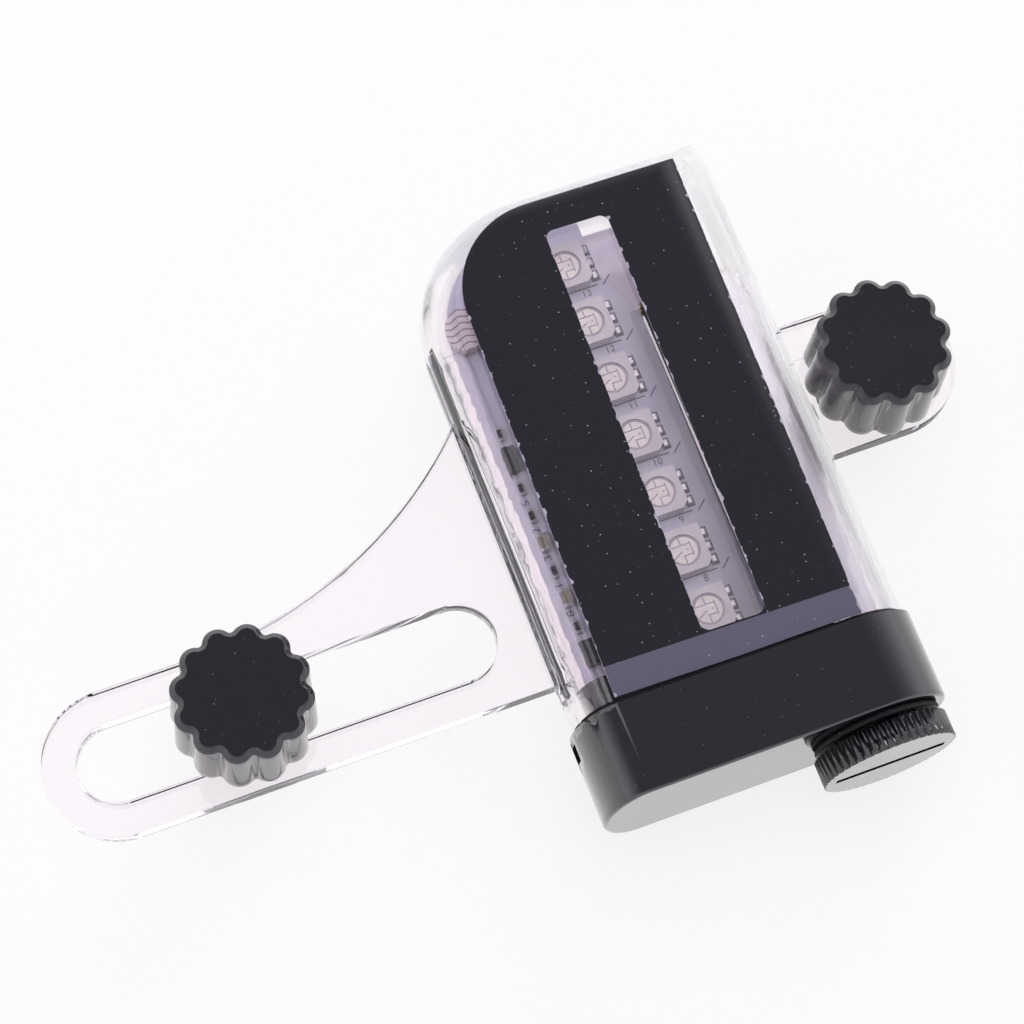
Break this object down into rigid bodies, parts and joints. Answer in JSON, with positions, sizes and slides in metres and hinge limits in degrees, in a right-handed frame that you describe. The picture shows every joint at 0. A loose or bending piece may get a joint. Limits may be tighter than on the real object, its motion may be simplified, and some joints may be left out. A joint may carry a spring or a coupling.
{
  "type": "spoke wheel light",
  "caption": "Clear battery light case with a slotted arm and a short tab, each holding a knob clamp that grips a wheel spoke.",
  "frame": {"origin": "under the middle of the light's box, on the plane it lies on with its front label up", "axes": "+X from the slotted arm towards the tab, +Y from the battery door towards the domed end, +Z out of the front label, along the knobs"},
  "size_m": [0.1086, 0.0728, 0.0185],
  "materials": {
    "clear_case": "polished clear polycarbonate",
    "clear_tube": "clear moulded plastic",
    "black_plastic": "fine satin",
    "knob_plastic": "semi-gloss nylon",
    "black_rubber": "matt",
    "grey_plastic": "satin",
    "cell_sleeve": "shrink sleeve",
    "contact_brass": "plain",
    "spring_steel": "nickel plated wire",
    "can_metal": "plated",
    "lead_sleeve": "insulated wire",
    "white_board": "white solder mask",
    "led_white": "white housing",
    "sensor_ceramic": "glazed",
    "capacitor_ceramic": "matt",
    "label_film": "printed satin film"
  },
  "bodies": {
    "lamp": {"case": "clear_case", "end_cap": "black_plastic", "case_gasket": "black_rubber", "battery_cell": "cell_sleeve", "battery_tube": "clear_tube", "positive_contact": "contact_brass", "negative_contact": "contact_brass", "negative_lead": "lead_sleeve", "circuit_board": "white_board", "led_1": "led_white", "led_2": "led_white", "led_3": "led_white", "led_4": "led_white", "led_5": "led_white", "led_6": "led_white", "led_7": "led_white", "led_8": "led_white", "led_9": "led_white", "led_10": "led_white", "led_11": "led_white", "led_12": "led_white", "led_13": "led_white", "led_14": "led_white", "light_sensor": "sensor_ceramic", "motion_switch": "can_metal", "controller_chip": "black_plastic", "transistors": "black_plastic", "capacitors": "capacitor_ceramic", "resistors": "black_plastic", "front_label": "label_film", "back_label": "label_film", "right_bush": "black_plastic"},
    "left_carriage": {"left_bush": "black_plastic"},
    "left_knob": {"left_knob": "knob_plastic", "left_insert": "contact_brass"},
    "left_clamp": {"left_clamp_plate": "black_plastic", "left_bolt": "can_metal"},
    "right_knob": {"right_knob": "knob_plastic", "right_insert": "contact_brass"},
    "right_clamp": {"right_clamp_plate": "black_plastic", "right_bolt": "can_metal"},
    "door_seal": {"door_o_ring": "black_rubber", "door_spring": "spring_steel"},
    "battery_door": {"battery_door": "grey_plastic"}
  },
  "joints": [
    {"name": "left_clamp_slide", "type": "slide", "parent": "lamp", "child": "left_carriage", "axis": [1, 0, 0], "range_m": [-0.0135, 0.0233]},
    {"name": "left_knob_turn", "type": "hinge", "parent": "left_carriage", "child": "left_knob", "pos_m": [-0.0325, -0.00875, 0.0101], "axis": [0, 0, 1], "range_deg": [0, 1080]},
    {"name": "left_plate_travel", "type": "slide", "parent": "left_carriage", "child": "left_clamp", "axis": [0, 0, 1], "range_m": [-0.0021, 0]},
    {"name": "right_knob_turn", "type": "hinge", "parent": "lamp", "child": "right_knob", "pos_m": [0.04465, 0.0047, 0.0101], "axis": [0, 0, 1], "range_deg": [0, 1080]},
    {"name": "right_plate_travel", "type": "slide", "parent": "lamp", "child": "right_clamp", "axis": [0, 0, 1], "range_m": [-0.0021, 0]},
    {"name": "door_travel", "type": "slide", "parent": "lamp", "child": "door_seal", "axis": [0, -1, 0], "range_m": [0, 0.006]},
    {"name": "door_turn", "type": "hinge", "parent": "door_seal", "child": "battery_door", "pos_m": [0.02955, -0.03435, 0.0081], "axis": [0, -1, 0], "range_deg": [0, 1440]}
  ],
  "couplings": [
    {"joint": "left_knob_turn", "follows": "left_plate_travel", "rad_per_m": -8976},
    {"joint": "right_knob_turn", "follows": "right_plate_travel", "rad_per_m": -8976},
    {"joint": "door_turn", "follows": "door_travel", "rad_per_m": 4188.8}
  ]
}
